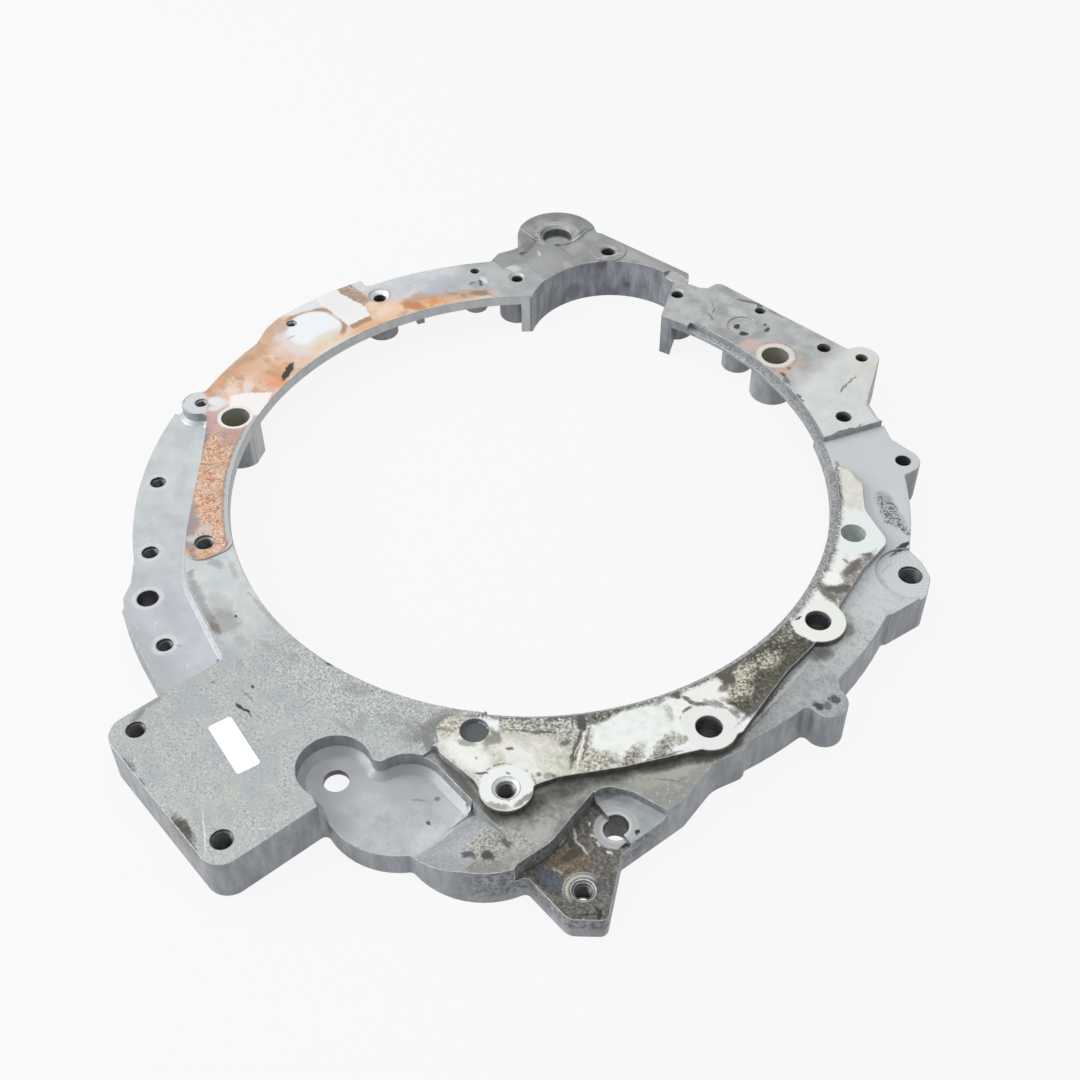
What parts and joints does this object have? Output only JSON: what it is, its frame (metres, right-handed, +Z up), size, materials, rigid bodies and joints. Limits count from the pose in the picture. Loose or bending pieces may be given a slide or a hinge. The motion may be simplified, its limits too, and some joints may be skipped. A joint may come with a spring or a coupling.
{
  "type": "transmission adapter plate",
  "caption": "Cast and machined adapter plate that joins an engine to a gearbox, with a large round opening, a starter motor lobe, dowel bores and bolt holes.",
  "frame": {"origin": "centre of the large round opening, on the plane that the plate rests on", "axes": "+Z up through the opening, out of the machined gearbox face; +Y away from the square pad; +X along the pad's outer edge, away from the starter motor lobe"},
  "size_m": [0.4387, 0.4947, 0.028],
  "materials": {
    "casting": "cast, with machined faces, stained in use",
    "label": "blank printed paper"
  },
  "bodies": {
    "root": {"adapter_plate": "casting", "paper_label": "label"}
  },
  "joints": []
}
